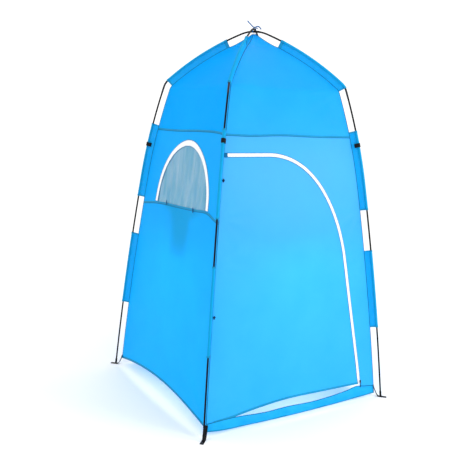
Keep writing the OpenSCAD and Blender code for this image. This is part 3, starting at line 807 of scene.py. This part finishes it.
# the wall round the window is ruled from the arch to the corner seams and the eaves, which meet at these angles
ARCH_POINTS, NEAR_CORNER, FAR_CORNER = 121, 50, 128
arch_angle = np.linspace(180, 0, ARCH_POINTS)
frame_z = np.interp(arch_angle, [0, NEAR_CORNER, FAR_CORNER, 180], [WINDOW_SEAM_Z, EAVES_Z, EAVES_Z, WINDOW_SEAM_Z])
frame_x = np.interp(arch_angle, [NEAR_CORNER, FAR_CORNER], [1, -1]) * half_of(frame_z)
round_window = ruled(window_arc(WINDOW_TAPE / 2 - TUCK, ARCH_POINTS), at(frame_x, frame_z), 13)
sew_in("window_wall_cloth", LEFT, round_window, "wall_cloth", "wall_cloth", "window_wall_upper")

for side in range(4):
    z = seam_rows(EAVES_Z, FABRIC_APEX_Z)[:, None]
    sew_in(f"{SIDES[side]}_roof_cloth", side, at(np.linspace(-1, 1, 61) * half_of(z), z),
           "front_roof_cloth" if side == FRONT else "roof_cloth", "roof_cloth", f"{SIDES[side]}_roof_panel")

# the net, slack enough to hang in upright folds
net_u = np.linspace(-1, 1, 97)
a = np.radians(90 - 88 * net_u)
net_half, net_rise = WINDOW_HALF_W - WINDOW_TAPE / 2 + TUCK, WINDOW_RISE - WINDOW_TAPE / 2 + TUCK
net_x = WINDOW_SHIFT + net_half * np.cos(a)
v = np.linspace(0, 1, 41)[:, None]
net_z = WINDOW_SEAM_Z + v * net_rise * np.sin(a)
edge_free = np.clip(1 - np.abs(net_u) ** 6, 0, 1) * np.sin(math.pi * v) ** 0.6
folds = 0.005 * np.sin(95 * net_x + 2 * v) + 0.004 * np.sin(51 * net_x + 1) - 0.006
build = Build()
build.grid(cloth(LEFT, np.broadcast_to(net_x, net_z.shape), net_z, -0.001 + edge_free * folds))
fit(build, "window_net", "net", "window_net", "window_mesh")

# ---------------- seams, hems, tapes and stitches
thread = {"frame": Build(), "door": Build()}
coils = {"frame": Build(), "door": Build()}
seams, outlines, door_outline, door_trim = Build(), Build(), Build(), Build()
wall_tape, door_tape, window_tape = Build(), Build(), Build()
# how far the dark edge of a tape reaches in over it and out past it
EDGE_IN, EDGE_OUT = 0.0002, 0.0024


def flat_seam(side, z, tape, dark_edge, rows, lift):
    """A seam across a side: a flat strip, its dark lower edge and rows of stitches."""
    path = at(np.linspace(-1, 1, 80) * half_of(z), z)
    ribbon(seams, side, path, flat_section(*tape))
    ribbon(outlines, side, path, flat_section(*dark_edge))
    for offset in rows:
        stitches(thread["frame"], side, path, offset, lift)


for side in range(4):
    flat_seam(side, EAVES_Z, (-0.005, 0.005, 0.0002, 0.0007), (-0.0066, -0.0042, 0.0004, 0.0008), (-0.003, 0.003),
              0.0011)
flat_seam(LEFT, WINDOW_SEAM_Z, (-0.006, 0.006, 0.0003, 0.0009), (-0.0078, -0.0050, 0.0005, 0.0010),
          (-0.003, 0.004), 0.0014)

# hems of the three plain walls, bound over the edge
HEM_SECTION = [(0.011, 0.0002), (0.011, 0.0009), (0.0, 0.0012), (-0.0012, 0.0), (0.0, -0.0012), (0.011, -0.0009),
               (0.011, -0.0002)]
for side in (RIGHT, REAR, LEFT):
    x = np.linspace(-1, 1, 90) * half_of(HEM_Z)
    hem = at(x, hem_arch(x))
    ribbon(seams, side, hem, HEM_SECTION)
    ribbon(outlines, side, hem, [(0.0008, 0.0014), (-0.0018, 0.0016), (-0.0018, -0.0016), (0.0008, -0.0014)])
    stitches(thread["frame"], side, hem, 0.008, 0.0012)
ribbon(seams, FRONT, at(sill_x, low_z),
       [(0.006, 0.0030), (0.0, 0.0036), (-0.0018, 0.0015), (0.0, -0.0005), (0.006, 0.0)])
ribbon(outlines, FRONT, at(sill_x, high_z), flat_section(-0.0016, 0.0016, 0.0010, 0.0014))
ribbon(door_trim, FRONT, bottom_edge[3:], HEM_SECTION)

# zip tapes with their dark edges: partly the folded edge of the cloth, partly painted shade along it
ribbon(wall_tape, FRONT, ZIP, flat_section(0.0005, ZIP_TAPE, 0.0004, 0.0008))
ribbon(door_tape, FRONT, ZIP, flat_section(-ZIP_TAPE, -0.0005, 0.0004, 0.0008))
ribbon(outlines, FRONT, ZIP, flat_section(ZIP_TAPE - EDGE_IN, ZIP_TAPE + EDGE_OUT, 0.0004, 0.0012))
ribbon(door_outline, FRONT, ZIP, flat_section(-ZIP_TAPE - EDGE_OUT, -ZIP_TAPE + EDGE_IN, 0.0004, 0.0012))
stitches(thread["frame"], FRONT, ZIP, ZIP_TAPE - 0.0025, 0.0014)
stitches(thread["door"], FRONT, ZIP, -ZIP_TAPE + 0.0025, 0.0014)
# the coil's turns, offset by half a turn from one tape to the other
COIL_R, COIL_HALF, COIL_PITCH = 0.0008, 0.0009, 0.0036
fine = resample(zip_path(step=0.004), COIL_PITCH)
n = path_normals(fine)
t = at(n[:, 1], -n[:, 0])
for body, sign in (("frame", 1), ("door", -1)):
    q = fine + 0.0010 * sign * n + COIL_PITCH / 4 * sign * t
    for ends in zip(cloth(FRONT, *(q - COIL_HALF * n).T, 0.0016), cloth(FRONT, *(q + COIL_HALF * n).T, 0.0016)):
        coils[body].tube(ends, COIL_R, sides=5)

window_line = window_arc(0.0, 110, 178.5, 1.5)
ribbon(window_tape, LEFT, window_line, flat_section(-WINDOW_TAPE / 2, WINDOW_TAPE / 2, 0.0006, 0.0009))
# the dark edges on both sides of the window tape: partly its folded edge, partly painted shade
for offset in (-WINDOW_TAPE / 2, WINDOW_TAPE / 2):
    ribbon(outlines, LEFT, window_line, flat_section(offset - 0.0012, offset + 0.0012, 0.0006, 0.0013))
    stitches(thread["frame"], LEFT, window_line, offset * 0.72, 0.0017)

fit(seams, "flat_seams", "seam_cloth", "sleeve_cloth")
fit(outlines, "dark_edges", "binding_and_shade", "navy_tape")
fit(wall_tape, "zip_tape_wall", "white_tape", "white_tape", "door_zip_tape_wall")
fit(coils["frame"], "zip_coil_wall", "white_teeth", "white_tape", "door_zip_tape_wall")
fit(window_tape, "window_tape", "white_tape", "white_tape", "window_zip_tape")
fit(thread["frame"], "stitches_wall", "thread", "sleeve_cloth")
for build, name, look, slot in ((door_tape, "zip_tape_door", "white_tape", "white_tape"),
                                (door_outline, "door_dark_edge", "binding_and_shade", "navy_tape"),
                                (coils["door"], "zip_coil_door", "white_teeth", "white_tape"),
                                (thread["door"], "stitches_door", "thread", "sleeve_cloth")):
    blend_door(build.make(name, M[look]), slot, "door_zip_tape_door")
blend_door(door_trim.make("door_hem", M["seam_cloth"]), "sleeve_cloth")


# ---------------- corners: piping, sleeves, bands
def in_corner(i, rho, z, t=0.0):
    """A point in a corner's upright plane, rho out from the middle, and t sideways from it."""
    angle = math.radians(225 + 90 * i)
    out = np.array([math.cos(angle), math.sin(angle), 0])
    sideways = np.array([-math.sin(angle), math.cos(angle), 0])
    return (np.asarray(rho)[..., None] * out + np.asarray(t)[..., None] * sideways
            + np.asarray(z)[..., None] * np.array([0, 0, 1.0]))


# one face of a pole sleeve from the seam to the pole and round it, then both
SLEEVE_HALF = ([(0.0388 - 0.0285 * k / 6, 0.0007 + 0.0003 * k) for k in range(7)]
               + [(0.0073 * math.cos(a), 0.0073 * math.sin(a)) for a in np.radians(np.linspace(28, 152, 7))])
SLEEVE_SECTION = SLEEVE_HALF + [(-0.0073, 0.0)] + [(d, -t) for d, t in reversed(SLEEVE_HALF)]
SLEEVE_PUCKER, SLEEVE_HEM = 0.0011, 0.008


def along_corner(i, z0, z1, section, step=0.009, pucker=0.0, seed=0.0):
    """A shape swept along the pole of one corner. The section is a list of (depth inward, offset sideways)."""
    points, leans = pole_path(ARCHES[i % 2], z0, z1, step)
    rows = []
    for p, a, along in zip(points, leans, run_length(points)):
        row = []
        for depth, aside in section:
            fin = max(0.0, math.sin(math.pi * min(1, max(0, (depth - 0.002) / 0.036))))
            wave = pucker * fin * (math.sin(along * 62 + seed) + 0.6 * math.sin(along * 131 + 2.1 * seed))
            row.append(in_corner(i, *(p - depth * unit(a)), aside + wave))
        rows.append(row)
    return np.array(rows)


def sleeve(name, i, z0, z1, node, seed, look="sleeve_cloth"):
    """A pole sleeve in one corner, with a hem at each end."""
    build = Build()
    build.grid(along_corner(i, z0, z1, SLEEVE_SECTION, pucker=SLEEVE_PUCKER, seed=seed))
    piece = fit(build, f"{name}_{CORNERS[i]}", look, "sleeve_cloth", node)
    points, _ = pole_path(ARCHES[i % 2], z0, z1)
    wide = [(d + (0.0006 if d > 0 else -0.0008), t * 1.10 + (0.0006 if t > 0 else -0.0006 if t < 0 else 0))
            for d, t in SLEEVE_SECTION]
    for low, high in ((z0, z0 + SLEEVE_HEM), (z1 - SLEEVE_HEM, z1)):
        trims.grid(along_corner(i, low, high, wide, step=0.004, pucker=SLEEVE_PUCKER, seed=seed))


trims, bands, piping = Build(), Build(), Build()
BAND_LOOP = round_box(32, 0.0145, 0.0092, 0.6, 0.6)
BAND_LOOP = np.concatenate([BAND_LOOP, BAND_LOOP[:1]])
BAND_DEPTH = np.array([0.006, 0])
for i, corner in enumerate(CORNERS):
    sleeve("lower_sleeve_cloth", i, *LOWER_SLEEVE, f"lower_sleeve_{corner}", i)
    sleeve("upper_sleeve_cloth", i, *UPPER_SLEEVE, f"upper_sleeve_{corner}", i + 1.7)
    sleeve("roof_sleeve_cloth_painted_shade", i, ROOF_SLEEVE_BOTTOMS[i], ROOF_SLEEVE_TOP, "roof_sleeves", i + 3.1,
           "roof_sleeve_cloth_painted_shade")
    seam = SEAM[(SEAM[:, 1] > (0.012 if i < 2 else HEM_Z - 0.002)) & (SEAM[:, 0] > 0.003)]
    piping.tube(in_corner(i, seam[:, 0] * SQRT2 + 0.0006, seam[:, 1]), 0.0016)
    outer_face, inner_face = (
        along_corner(i, BAND_HEIGHTS[i] - BAND_H / 2, BAND_HEIGHTS[i] + BAND_H / 2, BAND_DEPTH + section, step=0.003)
        for section in (BAND_LOOP * [1.14, 1.22], BAND_LOOP))
    bands.grid(np.concatenate([outer_face, inner_face[::-1], outer_face[:1]]))
fit(trims, "sleeve_hems", "seam_cloth", "sleeve_cloth")
fit(piping, "corner_piping", "piping", "navy_tape")
fit(bands, "sleeve_webbing_bands", "black_webbing", "black_webbing", "sleeve_bands")

# ---------------- feet
STRAP_W, STRAP_T, STRAP_OUT, PEG_OUT, EYELET_D = 0.020, 0.0024, 0.034, 0.020, 0.013


def strap_rings(i):
    """The rings of a webbing strip from the corner of the hem down to the two eyelets."""
    rho = half_of(HEM_Z) * SQRT2
    line = resample([[rho - 0.001, 0.066], [rho + 0.0035, 0.050], [FOOT[0] - 0.026, 0.016],
                     [FOOT[0] - 0.017, 0.0035], [FOOT[0] - 0.010, 0.0014], [FOOT[0] + STRAP_OUT, 0.0014]], 0.002)
    for _ in range(6):
        line[1:-1] = (line[:-2] + 2 * line[1:-1] + line[2:]) / 4
    line[:, 1] = np.maximum(line[:, 1], STRAP_T / 2 + 0.0001)
    ring = round_box(16, STRAP_W / 2, STRAP_T / 2, 0.35, 0.55)
    return [[in_corner(i, *(p + h * m), w) for w, h in ring] for p, m in zip(line, path_normals(line))]


for i, corner in enumerate(CORNERS):
    build = Build()
    build.loft(strap_rings(i))
    strap = build.make(f"foot_strap_webbing_{corner}", M["black_webbing"])
    for away in (0.0, PEG_OUT):
        centre, depth = in_corner(i, FOOT[0] + away, 0.0), np.array([0, 0, 0.008])
        drill(strap, centre - depth, centre + depth, EYELET_D / 2, 32)
    rig(strap, "black_webbing", "foot_straps")

# ---------------- ties on the near corner, and the zip's end patch
TOGGLE = np.array([[-9, 1.0], [-8.7, 2.0], [-8, 2.7], [-6.5, 3.0], [-4, 3.0], [-2, 2.9], [-1.2, 2.3], [0, 2.1],
                   [1.2, 2.3], [2, 2.9], [4, 3.0], [6.5, 3.0], [8, 2.7], [8.7, 2.0], [9, 1.0]]) / 1000
WEB_LENGTH, WEB_HALF_W, WEB_HALF_T = 0.016, 0.004, 0.0008
for body, z in TIE_HEIGHTS.items():
    seam = float(half_of(z))
    web, toggle = Build(), Build()
    web.loft([[[-seam + 0.0005 + WEB_LENGTH * k / 10, -seam - 0.0026 - 0.0007 * math.sin(k * 0.5) + h, z + w]
               for w, h in round_box(12, WEB_HALF_W, WEB_HALF_T, 0.4, 0.6)] for k in range(11)], flip=True)
    fit(web, f"{body}_webbing", "navy_tape", "navy_tape", f"door_{body}", body=body)
    toggle.tube([[-seam + 0.006, -seam - 0.0064, z + h] for h in TOGGLE[:, 0]], TOGGLE[:, 1], sides=20)
    fit(toggle, f"{body}_toggle", "black_plastic", "black_plastic", f"door_{body}", body=body)

patch = Build()
ribbon(patch, FRONT, at(np.linspace(-0.4225, -0.4015, 8), ZIP_TOP_Z), flat_section(-0.0115, 0.0115, 0.0006, 0.0014))
fit(patch, "zip_end_patch", "binding_and_shade", "navy_tape")


# ---------------- sliders and pulls
def slider_piece(node, body, look, low, high, tilt, hole):
    """A zip slider with a waist, or its tapered pull with a hole, in the box that its CAD solid fills."""
    centre, size = (low + high) / 2, high - low
    rings = []
    for level in np.linspace(-1, 1, 13):
        waist = 1 - (0.18 * (1 + level) / 2 if hole else 0.25 * math.exp(-(level / 0.35) ** 2))
        end = 1 - 0.35 * max(0, abs(level) - 0.8) / 0.2
        rings.append([[x, y, level] for x, y in round_box(16, waist * end, end, 0.5, 0.5)])
    rings = np.array(rings)
    build = Build()
    build.loft(rings / rings.max(axis=(0, 1)) * size / 2)
    # the number belongs to the name by which the piece is known
    obj = build.make(f"{node}_body.001", M[look])
    if hole:
        eye, through = np.array([0, 0, size[2] * 0.36]), np.zeros(3)
        through[1 if size[1] < size[0] else 0] = 2 * min(size[:2])
        drill(obj, eye - through, eye + through, max(size[:2]) * 0.26, 20)
    obj.data.transform(Matrix.Translation(centre) @ Matrix.Rotation(tilt, 4, "Y"))
    rig(obj, look, node, body=body)


for node, body, look in (("door_zip_slider", "door_slider", "grey_metal"),
                         ("door_zip_pull", "door_pull", "black_webbing"),
                         ("window_zip_slider", "window_slider", "grey_metal"),
                         ("window_zip_pull", "window_pull", "navy_tape")):
    low, high = cad_box(node)
    tilt = 0.0
    if node == "door_zip_slider":
        # its box is that of a slider tilted along the zip, so its own sizes are given
        tilt = math.atan2(SIDE_DIR[0], SIDE_DIR[1])
        middle, half_size = (low + high) / 2, np.array([0.0045, 0.0025, 0.0075])
        low, high = middle - half_size, middle + half_size
    slider_piece(node, body, look, low, high, tilt, hole="pull" in node)


# ---------------- the window's loops and flap
def band_round(build, path, middle, section):
    """A webbing ring along an upright closed path. The section is a list of (sideways in y, outwards)."""
    rings = []
    for p in path:
        away = (p - middle) / np.linalg.norm(p - middle)
        rings.append([p + np.array([0, w, 0]) + away * h for w, h in section])
    build.grid(rings, close_rows=True, close_columns=True)


low, high = cad_box("window_loops")
loops = Build()
for y in (low[1] + 0.003, high[1] - 0.003):
    middle = np.array([(low[0] + high[0]) / 2, y, (low[2] + high[2]) / 2])
    band_round(loops, [middle + [x, 0, z] for z, x in round_box(24, 0.0142, 0.0013, 0.7, 1)], middle,
               ((-0.003, -0.0003), (0.003, -0.0003), (0.003, 0.0005), (-0.003, 0.0005)))
fit(loops, "window_webbing_loops", "navy_tape", "navy_tape", "window_loops")

FLAP_W, FLAP_D = WINDOW_HALF_W - 0.014, WINDOW_RISE - 0.014
# a runs across the flap and b down it; it is gathered just below its seam and hangs in deepening folds
a = np.linspace(-1, 1, 121)[None, :]
b = np.linspace(0, 0.985, 46)[:, None]
bunched = np.clip(b / 0.20, 0, 1)
fold_size = 0.022 * np.clip(b / 0.5, 0, 1) * np.sqrt(1 - b ** 2)
fold = fold_size * (1 + np.sin(a * 17.0 + 1.2 * np.sin(3 * a) + 0.8 * b))
across_flap = (a * FLAP_W * np.sqrt(1 - b ** 2) * (1 - 0.64 * bunched * (2 - bunched)) + 0.03 * np.clip(b / 0.3, 0, 1)
               + 0.35 * fold_size * np.cos(a * 34 + 0.5))
flap_low, flap_high = cad_box("window_flap")
# the lower end is turned up inside, as it was left when the flap was rolled
HANG, TURN_R = 0.215, 0.015
down = b * FLAP_D
angle = np.clip((down - HANG) / TURN_R, 0, math.pi)
rest_up = np.maximum(down - HANG - math.pi * TURN_R, 0)
flap_x = (flap_low[0] + flap_high[0]) / 2 + 0.004 * b + fold + TURN_R * (1 - np.cos(angle))
flap_z = flap_high[2] - np.minimum(down, HANG) - TURN_R * np.sin(angle) + rest_up + 0.012 * b * a ** 2
build = Build()
build.grid(np.stack(np.broadcast_arrays(flap_x, -(WINDOW_SHIFT + across_flap), flap_z), axis=-1))
flap = fit(build, "window_flap_cloth", "flap_cloth_painted_shade", "wall_cloth", "window_flap", body="window_flap")
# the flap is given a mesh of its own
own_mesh(flap)

# ---------------- the tie and the tab at the crossing
KNOT_R, KNOT_SIZE, BOW_R, RING_HALF_W = 0.0021, 0.00125, 0.0015, 0.0110
low, high = cad_box("apex_tie_knot")
knot_z = high[2] - 0.0055
knot = Build()
knot.tube([[(math.sin(a) + 2 * math.sin(2 * a)) * KNOT_SIZE, (math.cos(a) - 2 * math.cos(2 * a)) * KNOT_SIZE,
            knot_z - 0.0004 - math.sin(3 * a) * KNOT_R] for a in np.linspace(0, 2 * math.pi, 61)[:-1]],
          KNOT_R, closed=True)
ring_top = knot_z - 0.004
middle = np.array([0, 0, (low[2] + ring_top) / 2])
ring = round_box(40, RING_HALF_W, (ring_top - low[2] - 0.0016) / 2, 0.5, 0.5)
band_round(knot, [middle + [x, 0, z] for x, z in ring], middle,
           ((-0.0026, -0.0006), (0, -0.0007), (0.0026, -0.0006), (0.0026, 0.0006), (0, 0.0008), (-0.0026, 0.0006)))
knot.tube([[0.006 + 0.008 * (1 - math.cos(a)), 0.004 * math.sin(a) - 0.002,
            knot_z + 0.0028 * math.sin(a) - 0.001 - 0.002 * (1 - math.cos(a))]
           for a in np.linspace(0, 2 * math.pi, 25)[:-1]], BOW_R, sides=6, closed=True)
fit(knot, "tie_knot_tape", "tie_cord", "navy_tape", "apex_tie_knot")

low, high = cad_box("apex_webbing")
middle, half = (low + high) / 2, (high - low) / 2
tab = Build()
tab.loft([[[middle[0] + x, middle[1] + y, z] for x, y in round_box(12, half[0], half[1], 0.5, 0.4)]
          for z in np.linspace(low[2], high[2], 9)])
fit(tab, "apex_webbing_tab", "black_webbing", "black_webbing", "apex_webbing")

# ---------------- floor and light
FLOOR_HALF = 60
floor = Build()
floor.grid([[[x, y, 0] for x in (-FLOOR_HALF, FLOOR_HALF)] for y in (-FLOOR_HALF, FLOOR_HALF)])
floor_material = surface("floor", (0.975, 0.975, 0.975), (0.985, 0.985, 0.985), 0.8, noise_scale=2.0, specular=0.0)
floor_object = floor.make("floor", floor_material, smooth=False)
floor_object.location.z = -0.0002

world = bpy.data.worlds.new("studio")
bpy.context.scene.world = world
world.use_nodes = True
world.node_tree.nodes["Background"].inputs[0].default_value = (1, 1, 1, 1)
world.node_tree.nodes["Background"].inputs[1].default_value = 1.12
bpy.context.scene.view_settings.view_transform = "Standard"


def area_light(name, location, target, size, power, colour=(1, 1, 1)):
    """A round lamp aimed at a point."""
    light = bpy.data.lights.new(name, "AREA")
    light.shape, light.size, light.energy = "DISK", size, power
    light.color = colour
    obj = bpy.data.objects.new(name, light)
    obj.location = location
    obj.rotation_euler = (Vector(target) - Vector(location)).to_track_quat("-Z", "Y").to_euler()
    obj.visible_camera = False
    bpy.context.scene.collection.objects.link(obj)


area_light("key", (2.3, -3.8, 1.95), (0.0, -0.5, 1.2), 1.6, 82)
area_light("fill", (-4.2, -1.2, 3.4), (0, 0, 1.1), 3.0, 24)
# a small lamp inside, aimed down: the ground shows pale through the slit under the door
area_light("floor_lamp", (0.05, 0.0, 1.0), (0.05, 0.0, 0.0), 0.5, 5, (1.0, 0.93, 0.78))
